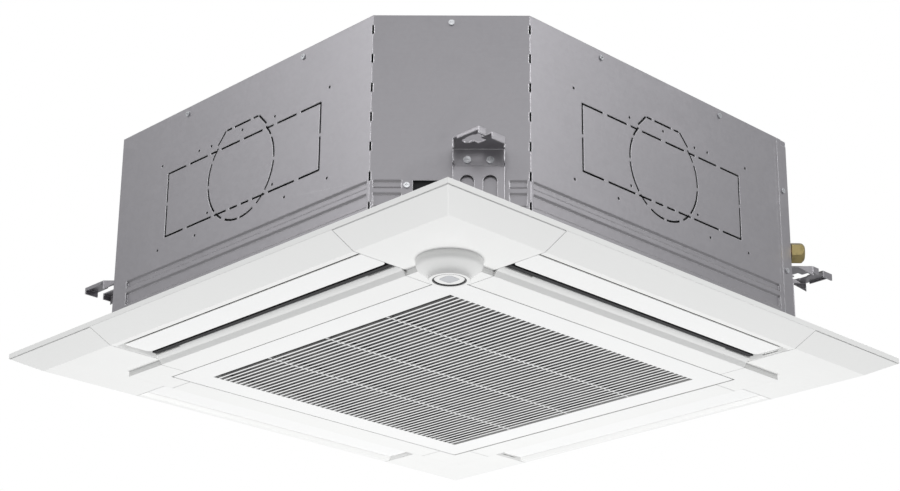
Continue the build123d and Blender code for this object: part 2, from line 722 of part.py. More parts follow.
def bell_mouth():
    """The inlet ring that leads the air into the fan, in its square plate."""
    plate = slab((-WELL_HALF + 0.5, WELL_HALF - 0.5), (-WELL_HALF + 0.5, WELL_HALF - 0.5), (63, 66))
    plate -= post(0, 0, BELL_R + 30, (60, 70))
    flare = turned([
        (BELL_R + 31, 66), (BELL_R + 16, 67), (BELL_R + 6, 73), (BELL_R + 1, 84), (BELL_R, 100),
        (BELL_R - 2.5, 100), (BELL_R - 1.5, 83), (BELL_R + 4, 71), (BELL_R + 15, 64), (BELL_R + 31, 63),
    ])
    return plate + flare


# ================================================================ control box
def control_box():
    """A folded tray, open at its foot, that hangs beside the bell mouth."""
    tray = slab(BOX_X, BOX_Y, BOX)
    tray -= slab((BOX_X[0] + 1, BOX_X[1] - 1), (BOX_Y[0] + 1, BOX_Y[1] - 1), (BOX[0] - 1, BOX[1] - 1))
    for y in (-120, 120):
        tray += slab((BOX_X[0] - 3.6, BOX_X[0]), (y - 12, y + 12), (BOX[1] - 12, BOX[1]))
    return tray - [rod("X", (BOX_X[1], y, GROMMET), GROMMET_R, 10) for y in GROMMET_Y]


def control_box_cover():
    x, y = (BOX_X[0] - 1.2, BOX_X[1] + 1.2), (BOX_Y[0] - 1.2, BOX_Y[1] + 1.2)
    lid = slab(x, y, (BOX[0] - 1, BOX[0] + 6))
    return lid - slab((x[0] + 1, x[1] - 1), (y[0] + 1, y[1] - 1), (BOX[0], BOX[0] + 9))


def control_board():
    """The circuit board with its larger parts hanging from it."""
    board = slab((BOX_X[0] + 5, BOX_X[1] - 5), (-60, 162), (52, 53.6))
    board += slab((-256, -232), (110, 150), (30, 52))
    board += slab((-228, -212), (96, 122), (38, 52))
    board += slab((-256, -240), (-40, 60), (42, 52))
    board += [post(-222, y, 8, (34, 52)) for y in (20, 48, 76)]
    return board + [post(x, y, 3, (53, BOX[1] - 1)) for y in (-50, 150) for x in (-258, -212)]


def terminal_block():
    block = slab((-258, -214), (-150, -80), (34, BOX[1] - 1))
    for step in range(5):
        y = -142 + 14 * step
        block -= slab((-252, -234), (y - 5, y + 5), (30, 42))
        block -= post(-224, y, 3.2, (30, 44))
    return block


def cable_grommets():
    """Two rubber cable inlets in the side of the control box."""
    wall = BOX_X[1] - 0.5
    rings = []
    for y in GROMMET_Y:
        body = rod("X", (wall, y, GROMMET), GROMMET_R + 3, 5)
        body -= rod("X", (wall, y, GROMMET), GROMMET_R + 5, 1) - rod("X", (wall, y, GROMMET), GROMMET_R, 2)
        rings.append(body - rod("X", (wall, y, GROMMET), 5.5, 30))
    return rings


# ================================================================ drain
def drain_pump():
    """The condensate pump: its motor above, its round intake down in the pan's pocket."""
    x, y = PUMP
    body = rod("Y", (x, y + 24, 92), 6, 12)
    for r, z in [(24, (96, 150)), (28, (88, 96)), (14, (60, 88)), (18, (46, 60))]:
        body += post(x, y, r, z)
    return body - post(x, y, 12, (40, 84)) - post(x, y, 3 + RUNNING, (80, 120))


def pump_impeller():
    x, y = PUMP
    wheel = post(x, y, 3, (50, 119))
    return wheel + [Pos(x, y, 62) * Rot(0, 0, 45 * turn) * Box(20, 1.6, 22) for turn in range(4)]


def float_guide():
    """The stem of the overflow switch, with its head above and its stop below."""
    x, y = FLOAT
    return post(x, y, 3, (43, 110)) + post(x, y, 7, (104, 116)) + post(x, y, 6, (42, 45))


def float_ring():
    return post(*FLOAT, 10, (46, 66)) - post(*FLOAT, 3.1, (40, 70))


def drain_hose():
    """The hose from the pump up to the drain socket."""
    x, y = PUMP
    lane = HOSE_LANE
    points = [(x, y + 30, 92), (x, lane, 92), (x, lane, DRAIN), (DRAIN_X, lane, DRAIN), (DRAIN_X, 400, DRAIN)]
    return bent_tube(points, 9, 8.5, 6.1)


def drain_socket():
    """The spigot that the drain pipe pushes into, standing out of the rear wall."""
    tube = turned([
        (4, 392), (6, 392), (6, 404), (DRAIN_R + 2.5, 404), (DRAIN_R + 2.5, 456), (DRAIN_R, 456),
        (DRAIN_R, 410), (4, 410),
    ])
    collar = turned([(DRAIN_R + 2, 421), (DRAIN_R + 7, 421), (DRAIN_R + 7, 424), (DRAIN_R + 2, 424)])
    return Pos(DRAIN_X, 0, DRAIN) * Rot(-90, 0, 0) * (tube + collar)


# ================================================================ panel
def panel_block(grow, drop, top):
    """The panel's outside shape, or with grow and drop the shape of its hollow."""
    rim, border, step = PANEL_HALF - grow, BORDER_HALF - 0.7 * grow, STEP_HALF - grow
    low, middle = RIM + 0.7 * drop, BORDER + drop
    block = slab((-rim, rim), (-rim, rim), (low, top))
    bevel_foot = Pos(0, 0, middle) * Rectangle(2 * border, 2 * border)
    bevel_top = Pos(0, 0, low) * Rectangle(2 * rim, 2 * rim)
    block += loft([bevel_foot, bevel_top])
    return block + slab((-step, step), (-step, step), (STEP + drop, middle + 1))


def panel_skin():
    return panel_block(0.0, 0.0, 0.0) - panel_block(SKIN, SKIN, 1.0)


def outlet_lip():
    """The step and the curved lip on the inner side of the front outlet, set back at both ends."""
    foot, foot_height = LIP_FOOT
    seen = [
        (STEP_HALF, STEP), LIP_FOOT, (foot + 3.3, foot_height + 2), (foot + 6, foot_height + 4),
        (LIP_OUT, LIP), (LIP_OUT, LIP + 1.2),
    ]
    behind = [
        (LIP_OUT - 1.5, LIP + 1.2), (foot + 4.6, foot_height + 5), (foot - 0.5, foot_height + 1.9),
        (STEP_HALF - 2, STEP + SKIN + 1), (STEP_HALF - 4, STEP + SKIN), (STEP_HALF - 4, STEP),
    ]
    lip = side_bar(seen + behind, (-SEAM + 1, SEAM - 1))
    start = OUTLET_HALF - NOTCH_LENGTH
    slant = 5.0
    notch = prism([
        (start, -LIP_OUT - 5), (start + slant, -NOTCH_OUT), (SEAM + 1, -NOTCH_OUT), (SEAM + 1, -LIP_OUT - 5),
    ], (STEP, 5))
    return lip - left_and_right(notch)


def outlet_ends():
    """The end walls of the front outlet, splayed at the mouth, with the vane's pin holes."""
    inner = OUTLET_HALF
    edge = SEAM - SEAM_GAP
    wall = out_bar([
        (edge, BORDER), (inner, BORDER + 8), (inner, 0), (inner + 2.5, 0), (inner + 2.5, BORDER + 8.5),
        (edge, BORDER + 4.5),
    ], (STEP_HALF - 2, OUTLET_OUT + 2))
    return left_and_right(wall - rod("X", (inner, -VANE_AXIS_OUT, VANE_AXIS), 4.2, 12))


def vane_motor_room():
    """Space for a vane motor beside the front outlet's right end."""
    return slab((OUTLET_HALF + 2.6, SEAM + 24), (-VANE_AXIS_OUT - 14, -VANE_AXIS_OUT + 14), (-24, 4))


def hinge_lugs():
    """Pairs of lugs that hold the grille's hinge pins, hung from the ledge."""
    lugs = []
    for x in (-HINGE_X, HINGE_X):
        for middle in (x - 11, x + 11):
            lug = slab((middle - 2, middle + 2), (HINGE_Y - 4, HINGE_Y + 4), (HINGE, -11.5))
            lug += rod("X", (middle, HINGE_Y, HINGE), 4, 4)
            lugs.append(lug - rod("X", (middle, HINGE_Y, HINGE), HINGE_PIN_R, 10))
    return lugs


def latch_box(half_x, half_y, z):
    """A block round each latch's middle."""
    y = (LATCH_Y - half_y, LATCH_Y + half_y)
    return [slab((x - half_x, x + half_x), y, z) for x in (-LATCH_X, LATCH_X)]


def panel_frame():
    """The white moulding: skin along the four sides, outlet walls, grille recess and top flange."""
    frame = panel_skin() - four_sides(front_right_square(SEAM - SEAM_GAP, PANEL_HALF + 5, (-60, RIM)))
    frame -= slab((-GRILLE_GAP, GRILLE_GAP), (-GRILLE_GAP, GRILLE_GAP + 0.5), (-60, -20))
    mouth = slab((-SEAM - 1, SEAM + 1), (-OUTLET_OUT, -STEP_HALF), (-60, 5))
    kink, kink_height = OUTLET_KINK
    outer = side_bar([
        (OUTLET_OUT, BORDER), (OUTLET_OUT + SKIN, BORDER), (OUTLET_OUT + SKIN, BORDER + 2),
        (kink + SKIN, kink_height + 1.5), (DUCT_TOP_OUT + SKIN, 0), (DUCT_TOP_OUT, 0), OUTLET_KINK,
    ], (-SEAM + 0.5, SEAM - 0.5))
    frame -= four_sides(mouth)
    frame += ring(PANEL_HALF, DUCT_TOP_OUT, (-3, 0))
    for piece in [outlet_lip(), outer] + outlet_ends():
        frame += four_sides(piece)
    frame += ring(311, 308, (STEP + SKIN, 0))
    frame += ring(311, LEDGE_HALF, (-12, -9))
    shelf = front_right_square(OUTLET_HALF, DUCT_TOP_OUT + 2, (-3, 0)) - front_right_square(368, 396, (-5, 5))
    frame += four_sides(shelf - panel_bolt_hole())
    frame += hinge_lugs() + latch_box(13, 9, (-10, -6))
    frame -= post(SENSOR, -SENSOR, SENSOR_BASE_R + 0.5, (STEP, BORDER + SKIN + 0.5))
    frame -= slab((-SEAT_HALF, SEAT_HALF), (-SEAT_HALF, SEAT_HALF), (SEAT, 1))
    return frame - four_sides(vane_motor_room()) - latch_box(8, 6, (-15, 0))


def corner_panel():
    """A clip-on corner panel: the skin of the front right corner, with two clips."""
    panel = panel_skin() & front_right_square(SEAM + SEAM_GAP, PANEL_HALF + 1, (-60, RIM - 0.3))
    panel -= slab((-GRILLE_GAP, GRILLE_GAP), (-GRILLE_GAP, GRILLE_GAP), (-60, 5))
    clip = slab((268, 271), (-340, -324), (STEP + SKIN - 0.5, -4))
    return panel + clip + across_corner(clip)


def sensor_housing():
    """The round housing of the sensor: an upright base, a shoulder, a cone and a neck."""
    top = BORDER + SKIN
    inner = SENSOR_BASE_R - SENSOR_WALL
    shoulder = Spline((SENSOR_BASE_R, 0, -32.5), (39.4, 0, -40.4), (31.4, 0, -46.6), (NECK_R, 0, NECK_FOOT),
                      tangents=[(0, 0, -1), (-0.1, 0, -1)])
    rest = Polyline(
        (NECK_R, 0, NECK_FOOT), (NECK_BORE, 0, NECK_FOOT), (NECK_BORE, 0, NECK_FOOT + 3.5), (28.2, 0, -45.4),
        (36.6, 0, -38.2), (inner, 0, -32), (inner, 0, top), (SENSOR_BASE_R, 0, top),
        (SENSOR_BASE_R, 0, -32.5))
    return Pos(SENSOR, -SENSOR, 0) * revolve(make_face(shoulder + rest), Axis.Z)


def sensor_corner_panel():
    """The front right corner panel, in one piece with the sensor's housing."""
    grille_corner = slab((-GRILLE_GAP, GRILLE_GAP), (-GRILLE_GAP, GRILLE_GAP), (STEP, 5))
    panel = corner_panel() - post(SENSOR, -SENSOR, SENSOR_BASE_R - 2, (-60, 5))
    return panel + (sensor_housing() - grille_corner)


def lens_block(half, z):
    """A rounded square block about the sensor's axis."""
    block = slab((-half, half), (-half, half), z)
    return fillet(block.edges().filter_by(Axis.Z), 5)


def sensor_head():
    """The turning head: a disc on a spindle, with the seat of its lens."""
    head = turned([
        (0, HEAD_FOOT), (HEAD_R - 1, HEAD_FOOT), (HEAD_R, HEAD_FOOT + 0.7), (HEAD_R, HEAD_FOOT + 3.4),
        (HEAD_R - 1.5, HEAD_FOOT + 5.4), (4, HEAD_FOOT + 5.4), (4, -30), (0, -30),
    ])
    return Pos(SENSOR, -SENSOR, 0) * (head - lens_block(LENS_HALF + 0.05, (HEAD_FOOT - 1, LENS_SEAT)))


def sensor_lens():
    """The low domed lens, a rounded square."""
    dome = lens_block(LENS_HALF, (HEAD_FOOT - 2, LENS_SEAT)) & Pos(0, 0, HEAD_FOOT + 79) * Sphere(80)
    return Pos(SENSOR, -SENSOR, 0) * dome


def sensor_motor():
    """The small motor that turns the sensor head, on an arm across the housing, and the seal in its neck."""
    arm = SENSOR_BASE_R - SENSOR_WALL - 0.3
    case = post(0, 0, 13, (-40, -26)) + slab((-arm, arm), (-4, 4), (-28.5, -26.5))
    case -= post(0, 0, 4 + RUNNING, (-60, -29.9))
    seal = post(0, 0, NECK_BORE - 0.05, (NECK_FOOT + 0.3, NECK_FOOT + 3.3))
    seal -= post(0, 0, HEAD_R + 0.5, (-60, -50))
    return [Pos(SENSOR, -SENSOR, 0) * solid for solid in (case, seal)]


def duct_liner():
    """The black insulation between panel and casing: four mitred lengths, each with its outlet shaft."""
    liner = prism(body_outline(10), (SEAT, BODY_FOOT - FOAM_GAP))
    liner -= slab((-WELL_HALF, WELL_HALF), (-WELL_HALF, WELL_HALF), (-5, 30))
    shaft = side_bar([
        (SHAFT_IN, -5), (DUCT_TOP_OUT - 4, -5), (SHAFT_OUT, 25), (SHAFT_IN, 25),
    ], (-OUTLET_HALF + 1.5, OUTLET_HALF - 1.5))
    wall_half = OUTLET_HALF - 0.5
    inner_wall = slab((-wall_half, wall_half), (-SHAFT_IN, -LIP_OUT - 1), (LIP + FOAM_GAP, 0.5))
    liner = liner - four_sides(shaft) + four_sides(inner_wall)
    liner -= four_sides(panel_bolt_hole()) + four_sides(vane_motor_room())
    mitre = Rot(0, 0, 45) * Box(4 * BODY_HALF, FOAM_GAP, 100)
    return (liner - latch_box(12, 10, (-20, 16)) - mitre - quarter(mitre, 1)).solids()


def panel_gasket():
    """The foam pad squeezed between the duct liner and the casing's tray."""
    pad = prism(cut_square(400, [170] * 4), (BODY_FOOT - 0.2, PAN[0]))
    pad -= slab((-WELL_HALF, WELL_HALF), (-WELL_HALF, WELL_HALF), (0, 30))
    return pad - four_sides(slab((-SHAFT_END, SHAFT_END), (-440, -SHAFT_IN), (0, 30)))


def panel_bolts():
    """Four hexagon bolts that hold the panel frame up against the casing's foot tabs."""
    bolt = Pos(PANEL_BOLT, -PANEL_BOLT, -7.5) * extrude(RegularPolygon(4.6, 6), 3.5, dir=(0, 0, 1))
    bolt += post(PANEL_BOLT, -PANEL_BOLT, 7.5, (-4, -3))
    bolt += post(PANEL_BOLT, -PANEL_BOLT, PANEL_BOLT_R, (-4, 34))
    return four_sides(bolt)


# ================================================================ vanes
def vane():
    """The front vane: a blade, a stiffening rib, and an arm with a pin at each end."""
    blade = slab((-VANE_HALF, VANE_HALF), (-VANE_OUT, -VANE_IN), (VANE_FOOT, VANE_FOOT + VANE_THICK))
    blade = fillet(blade.edges().filter_by(Axis.Z).sort_by(Axis.Y)[2:], VANE_CORNER_R)
    blade = fillet(blade.edges().filter_by(Axis.Z).sort_by(Axis.Y)[:2], 3)
    blade = chamfer(blade.faces().sort_by(Axis.Z)[-1].edges(), 2.0)
    inside = VANE_FOOT + 1
    middle = VANE_AXIS_OUT
    rib_half = VANE_HALF - 10
    body = blade + slab((-rib_half, rib_half), (-middle - 1, -middle + 1), (inside, inside + 6))
    for sign in (-1, 1):
        ends = sorted((sign * (VANE_HALF - 3.5), sign * VANE_HALF))
        body += side_bar([
            (middle - 8, inside), (middle + 12, inside), (middle + 5, VANE_AXIS), (middle - 5, VANE_AXIS),
        ], ends)
        body += rod("X", (sign * (VANE_HALF - 1.75), -VANE_AXIS_OUT, VANE_AXIS), 5, 3.5)
        body += rod("X", (sign * (VANE_HALF + 5), -VANE_AXIS_OUT, VANE_AXIS), VANE_PIN_R, 12)
    return body


def vane_motor():
    """The stepper motor at the front outlet's right end; its hub takes the vane's pin."""
    start = OUTLET_HALF + 2.7
    ears = (-VANE_AXIS_OUT - 13.5, -VANE_AXIS_OUT + 13.5)
    case = rod("X", (start + 11, -VANE_AXIS_OUT, VANE_AXIS), 12, 22)
    case += slab((start, start + 2), ears, (VANE_AXIS - 4, VANE_AXIS + 4))
    return case - rod("X", (start, -VANE_AXIS_OUT, VANE_AXIS), VANE_PIN_R + RUNNING, 18)


def vane_bearing():
    """The plain bush at the front outlet's left end."""
    wall = OUTLET_HALF + 2.5
    bush = rod("X", (-wall + 0.5, -VANE_AXIS_OUT, VANE_AXIS), 4.2, 4)
    bush += rod("X", (-wall - 1, -VANE_AXIS_OUT, VANE_AXIS), 6, 2)
    return bush - rod("X", (-wall, -VANE_AXIS_OUT, VANE_AXIS), VANE_PIN_R + RUNNING, 12)


# ================================================================ intake grille
def hinge_holes():
    return [rod("X", (x, HINGE_Y, HINGE), HINGE_PIN_R + RUNNING, 20) for x in (-HINGE_X, HINGE_X)]


def slat(middle):
    """One slat: flat below, with a low ridge along its back."""
    near, far = middle - SLAT_WIDTH / 2, middle + SLAT_WIDTH / 2
    return side_bar([
        (near, STEP), (far, STEP), (far, STEP + SLAT_EDGE), (middle, STEP + SLAT_RIDGE),
        (near, STEP + SLAT_EDGE),
    ], (-FIELD_HALF - 0.5, FIELD_HALF + 0.5))


def intake_grille():
    """The hinged grille: a flat frame with fifty slats, cross ribs, knuckles and two latch tabs."""
    outer = (-GRILLE_HALF, GRILLE_REAR)
    plate = slab((-GRILLE_HALF, GRILLE_HALF), outer, (STEP, -24))
    plate = fillet(plate.edges().filter_by(Axis.Z), 3)
    side = GRILLE_HALF - GRILLE_SKIN
    plate -= slab((-side, side), (outer[0] + GRILLE_SKIN, outer[1] - GRILLE_SKIN), (STEP + GRILLE_SKIN, -20))
    plate -= slab((-FIELD_HALF, FIELD_HALF), (-FIELD_HALF, FIELD_HALF), (-40, -20))
    plate -= [slab((x - 17, x + 17), (290, 300), (STEP + GRILLE_SKIN, -20)) for x in (-HINGE_X, HINGE_X)]
    plate += ring(FIELD_HALF + 2, FIELD_HALF, (STEP, -27.5))
    first = -(SLAT_COUNT - 1) / 2 * SLAT_PITCH
    middles = [first + number * SLAT_PITCH for number in range(SLAT_COUNT)]
    plate += [slat(middle) for middle in middles]
    across = (-FIELD_HALF - 0.5, FIELD_HALF + 0.5)
    plate += [slab((x - 1, x + 1), across, (STEP + 0.8, RIB_TOP)) for x in (-RIB_X, 0, RIB_X)]
    for x in (-HINGE_X, HINGE_X):
        plate += slab((x - 8, x + 8), (HINGE_Y - 4, HINGE_Y + 4), (STEP + 1, HINGE))
        plate += rod("X", (x, HINGE_Y, HINGE), 4.3, 16)
    plate += latch_box(5, 4, (STEP + 1, -29)) + latch_box(3, 2.5, (STEP + 1, -16.5))
    return plate - hinge_holes()


def latch_body(x):
    """A push latch's case standing in the ledge, open at its foot."""
    case = slab((x - 8, x + 8), (LATCH_Y - 6, LATCH_Y + 6), (-14, 14))
    case += slab((x - 10, x + 10), (LATCH_Y - 8, LATCH_Y + 8), (-14, -12))
    return case - slab((x - 6.3, x + 6.3), (LATCH_Y - 4.3, LATCH_Y + 4.3), (-16, 12))


def latch_plunger(x):
    """The sliding plunger of a push latch, which the grille's tab presses on."""
    stem = slab((x - 6, x + 6), (LATCH_Y - 4, LATCH_Y + 4), (-16, 2))
    return chamfer(stem.faces().sort_by(Axis.Z)[0].edges(), 1)


def air_filter():
    """The filter tray that lies on the slats: a frame with crossed bars and a net."""
    half = FILTER_HALF
    inner = half - 5
    tray = ring(half, half - 10, (FILTER, FILTER + 6))
    tray += slab((-inner, inner), (-inner, inner), (FILTER + 2, FILTER + 3))
    for middle in (-122, 0, 122):
        tray += slab((middle - 3, middle + 3), (-inner, inner), (FILTER, FILTER + 5))
        tray += slab((-inner, inner), (middle - 3, middle + 3), (FILTER, FILTER + 5))
    return tray


# ================================================================ build
def build_casing():
    screws = casing_screws()
    wall = casing_wall()
    plate = corner_plate()
    save("front_casing_wall", wall - screws)
    save("rear_casing_wall", HALF_TURN * wall - drain_hole(0.3) - screws)
    save("pipe_corner_plate", plate - pipe_holes(1.5, 20) - screws)
    save("plain_corner_plate", HALF_TURN * plate - screws)
    save("top_plate", top_plate() - screws)
    save_group("casing_screws", screws)
    for name, shape in zip(CORNERS, hangers()):
        save(f"hanger_bracket_{name}", shape)


def build_inside():
    save_group("foam_liner", foam_liner())
    save_group("drain_pan", drain_pan())
    save("heat_exchanger", coil())
    save_group("coil_end_plates", coil_end_plates())
    save_group("return_bends", return_bends())
    save("gas_pipe", pipe(GAS_ALONG, GAS, GAS_R, 17, GAS + 22))
    save("gas_flare_nut", flare_nut(GAS_ALONG, GAS, GAS_R + 0.05, GAS_BORE, 28))
    save("liquid_pipe", pipe(LIQUID_ALONG, LIQUID, LIQUID_R, 14, LIQUID + 20))
    save_group("coil_headers", [gas_header(), liquid_header()])
    save("liquid_flare_nut", flare_nut(LIQUID_ALONG, LIQUID, LIQUID_R + 0.05, LIQUID_BORE, 22))
    save("fan_motor", motor())
    save_group("motor_mounts", motor_mounts())
    save("motor_shaft", post(0, 0, AXLE_R, (168, 279)))
    save("turbo_fan", fan())
    save("fan_nut", fan_nut())
    save("bell_mouth", bell_mouth())
    save("control_box", control_box())
    save("control_box_cover", control_box_cover())
    save("control_board", control_board())
    save("terminal_block", terminal_block())
    save_group("cable_grommets", cable_grommets())
    save("drain_pump_body", drain_pump())
    save("pump_impeller", pump_impeller())
    save("float_guide", float_guide())
    save("float_ring", float_ring())
    save("drain_hose", drain_hose())
    save("drain_socket", drain_socket())


def build_panel():
    save("panel_frame", panel_frame())
    save("corner_panel_front_right", sensor_corner_panel())
    for turn in (1, 2, 3):
        save(f"corner_panel_{CORNERS[turn]}", quarter(corner_panel(), turn))
    save_group("sensor_motor", sensor_motor())
    save("sensor_head", sensor_head())
    save("sensor_lens", sensor_lens())
    save_group("duct_liner", duct_liner())
    save("panel_gasket", panel_gasket())
    save_group("panel_bolts", panel_bolts())
    for turn, side in enumerate(SIDES):
        save(f"vane_{side}", quarter(vane(), turn))
    save_group("vane_motors", four_sides(vane_motor()))
    save_group("vane_bearings", four_sides(vane_bearing()))


def build_grille():
    save("intake_grille", intake_grille())
    save("air_filter", air_filter())
    pins = [rod("X", (x, HINGE_Y, HINGE), HINGE_PIN_R, 28) for x in (-HINGE_X, HINGE_X)]
    save_group("grille_hinge_pins", pins)
    save_group("latch_bodies", [latch_body(x) for x in (-LATCH_X, LATCH_X)])
    save("latch_plunger_left", latch_plunger(-LATCH_X))
    save("latch_plunger_right", latch_plunger(LATCH_X))


os.makedirs("parts", exist_ok=True)
build_casing()
build_inside()
build_panel()
build_grille()
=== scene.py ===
"""Looks of the ceiling cassette air conditioner: stage, lights, camera and the finish of every piece.

All lengths are in metres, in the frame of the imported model. The finished ceiling lies at CEILING.
"""

import json
import math

import bpy
from mathutils import Matrix, Vector

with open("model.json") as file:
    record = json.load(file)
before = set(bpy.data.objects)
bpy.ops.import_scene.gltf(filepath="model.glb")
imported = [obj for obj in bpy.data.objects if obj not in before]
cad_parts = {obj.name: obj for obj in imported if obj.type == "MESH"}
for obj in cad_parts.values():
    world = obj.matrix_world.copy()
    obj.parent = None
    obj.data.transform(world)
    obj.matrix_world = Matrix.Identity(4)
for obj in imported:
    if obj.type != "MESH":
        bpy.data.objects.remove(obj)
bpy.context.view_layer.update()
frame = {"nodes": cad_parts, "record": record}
cad_nodes = frame["nodes"]

CEILING = -0.119                        # the ceiling is this far under the hanger shelves


# ---------------------------------------------------------------- node helpers

def add_node(tree, kind, **settings):
    """One shader node with its settings."""
    node = tree.nodes.new(kind)
    for name, value in settings.items():
        setattr(node, name, value)
    return node


def join(tree, source, target):
    """A link, or a plain value where the source is a number or a colour."""
    if isinstance(source, bpy.types.NodeSocket):
        tree.links.new(source, target)
    else:
        target.default_value = source


def sums(tree, operation, first, second=0.0, third=0.0, clamp=False):
    """A Math node on numbers or sockets."""
    node = add_node(tree, "ShaderNodeMath", operation=operation, use_clamp=clamp)
    join(tree, first, node.inputs[0])
    join(tree, second, node.inputs[1])
    join(tree, third, node.inputs[2])
    return node.outputs[0]


def spread(tree, value, low, high, to_low=0.0, to_high=1.0):
    """Map low..high to to_low..to_high with a soft start and end."""
    node = add_node(tree, "ShaderNodeMapRange", interpolation_type="SMOOTHSTEP")
    join(tree, value, node.inputs["Value"])
    join(tree, low, node.inputs["From Min"])
    join(tree, high, node.inputs["From Max"])
    join(tree, to_low, node.inputs["To Min"])
    join(tree, to_high, node.inputs["To Max"])
    return node.outputs["Result"]


def mixed(tree, share, first, second, blend="MIX"):
    """A colour between two colours."""
    node = add_node(tree, "ShaderNodeMix", data_type="RGBA", blend_type=blend)
    join(tree, share, node.inputs[0])
    join(tree, first, node.inputs[6])
    join(tree, second, node.inputs[7])
    return node.outputs[2]


def piece_place(tree, stretch=None):
    """The place on the piece, in metres, stretched along each axis where that is asked for."""
    place = add_node(tree, "ShaderNodeTexCoord").outputs["Object"]
    if stretch is None:
        return place
    scaled = add_node(tree, "ShaderNodeVectorMath", operation="MULTIPLY")
    join(tree, place, scaled.inputs[0])
    join(tree, stretch, scaled.inputs[1])
    return scaled.outputs[0]


def around_zero(tree, value):
    """A value from 0 to 1, moved to lie around zero."""
    return sums(tree, "SUBTRACT", value, 0.5)


def scale_for(tree, size):
    """The scale of a texture whose features are about size metres across."""
    if isinstance(size, bpy.types.NodeSocket):
        return sums(tree, "DIVIDE", 1.0, size)
    return 1.0 / size


def noise(tree, place, size, detail=2.0, roughness=0.5, distortion=0.0):
    """Noise with features about size metres across, from 0 to 1."""
    node = add_node(tree, "ShaderNodeTexNoise")
    join(tree, place, node.inputs["Vector"])
    join(tree, scale_for(tree, size), node.inputs["Scale"])
    node.inputs["Detail"].default_value = detail
    node.inputs["Roughness"].default_value = roughness
    node.inputs["Distortion"].default_value = distortion
    return node.outputs["Fac"]


def cells(tree, place, size, output="Color", feature="F1"):
    """Cells about size metres across."""
    node = add_node(tree, "ShaderNodeTexVoronoi", feature=feature)
    join(tree, place, node.inputs["Vector"])
    join(tree, scale_for(tree, size), node.inputs["Scale"])
    return node.outputs[output]


def one_channel(tree, colour):
    """The red share of a colour: from the colour of a cell it is one chance value for each cell."""
    node = add_node(tree, "ShaderNodeSeparateColor")
    join(tree, colour, node.inputs[0])
    return node.outputs[0]


def new_group(name, inputs, outputs):
    """An empty node group: inputs are (name, default), outputs are (name, socket type)."""
    tree = bpy.data.node_groups.new(name, "ShaderNodeTree")
    for label, default in inputs:
        socket = tree.interface.new_socket(name=label, in_out="INPUT", socket_type="NodeSocketFloat")
        socket.default_value = default
    for label, kind in outputs:
        tree.interface.new_socket(name=label, in_out="OUTPUT", socket_type=kind)
    return tree, add_node(tree, "NodeGroupInput").outputs, add_node(tree, "NodeGroupOutput").inputs


def use_group(tree, group, **values):
    """The group placed in a material; a value's name is its socket's name with _ for a space."""
    node = add_node(tree, "ShaderNodeGroup", node_tree=group)
    for name, value in values.items():
        join(tree, value, node.inputs[name.replace("_", " ")])
    return node.outputs


# ---------------------------------------------------------------- effects that several finishes share

def make_zinc_spangle():
    """Crystals of a hot-dip zinc coat: each has its own tone, with fine feathers and a long rolling grain."""
    wander = 0.006                      # how far the crystals' outlines wander
    wander_scale = 90.0
    feather_size = 0.0025
    rolled_size = 0.06
    flattened = (1.0, 1.0, 6.0)         # squeezed in height, so that the grain lies level
    drawn_out = (1.0, 1.0, 40.0)
    tree, given, result = new_group(
        "zinc spangle",
        [("Crystal Size", 0.012), ("Contrast", 0.1), ("Rolling", 0.05)],
        [("Tone", "NodeSocketFloat"), ("Roughness Shift", "NodeSocketFloat"), ("Height", "NodeSocketFloat")])
    place = piece_place(tree)
    bend = add_node(tree, "ShaderNodeVectorMath", operation="MULTIPLY_ADD")
    wobble = add_node(tree, "ShaderNodeTexNoise")
    wobble.inputs["Scale"].default_value = wander_scale
    join(tree, place, wobble.inputs["Vector"])
    join(tree, wobble.outputs["Color"], bend.inputs[0])
    join(tree, (wander, wander, wander), bend.inputs[1])
    join(tree, place, bend.inputs[2])
    crystal = one_channel(tree, cells(tree, bend.outputs[0], given["Crystal Size"]))
    feather = noise(tree, piece_place(tree, flattened), feather_size, detail=3.0, roughness=0.6)
    rolled = noise(tree, piece_place(tree, drawn_out), rolled_size, detail=3.0, roughness=0.6)
    grain = sums(tree, "MULTIPLY_ADD", around_zero(tree, feather), 0.6, crystal)
    swing = sums(tree, "MULTIPLY", around_zero(tree, grain), given["Contrast"])
    roll = sums(tree, "MULTIPLY", around_zero(tree, rolled), given["Rolling"])
    both = sums(tree, "ADD", swing, roll)
    join(tree, sums(tree, "ADD", 1.0, both), result["Tone"])
    join(tree, sums(tree, "MULTIPLY", both, 0.6), result["Roughness Shift"])
    join(tree, grain, result["Height"])
    return tree


def make_edge_wear_and_highlight():
    """Edges: a mask along sharp edges, broken up by noise, that the finishes use for wear and for a painted
    highlight, and the normal of a slightly rounded edge.
    """
    patch_size = 0.02
    tree, given, result = new_group(
        "edge wear and highlight",
        [("Width", 0.001), ("Breakup", 0.5)],
        [("Mask", "NodeSocketFloat"), ("Rounded Normal", "NodeSocketVector")])
    rounded = add_node(tree, "ShaderNodeBevel", samples=4)
    join(tree, given["Width"], rounded.inputs["Radius"])
    turn = add_node(tree, "ShaderNodeVectorMath", operation="DOT_PRODUCT")
    join(tree, rounded.outputs[0], turn.inputs[0])
    join(tree, add_node(tree, "ShaderNodeNewGeometry").outputs["Normal"], turn.inputs[1])
    edge = spread(tree, sums(tree, "SUBTRACT", 1.0, turn.outputs["Value"]), 0.02, 0.25)
    patches = spread(tree, noise(tree, piece_place(tree), patch_size, detail=4.0, roughness=0.7), 0.35, 0.65)
    kept = sums(tree, "MULTIPLY_ADD", sums(tree, "SUBTRACT", patches, 1.0), given["Breakup"], 1.0)
    join(tree, sums(tree, "MULTIPLY", edge, kept, clamp=True), result["Mask"])
    join(tree, rounded.outputs[0], result["Rounded Normal"])
    return tree


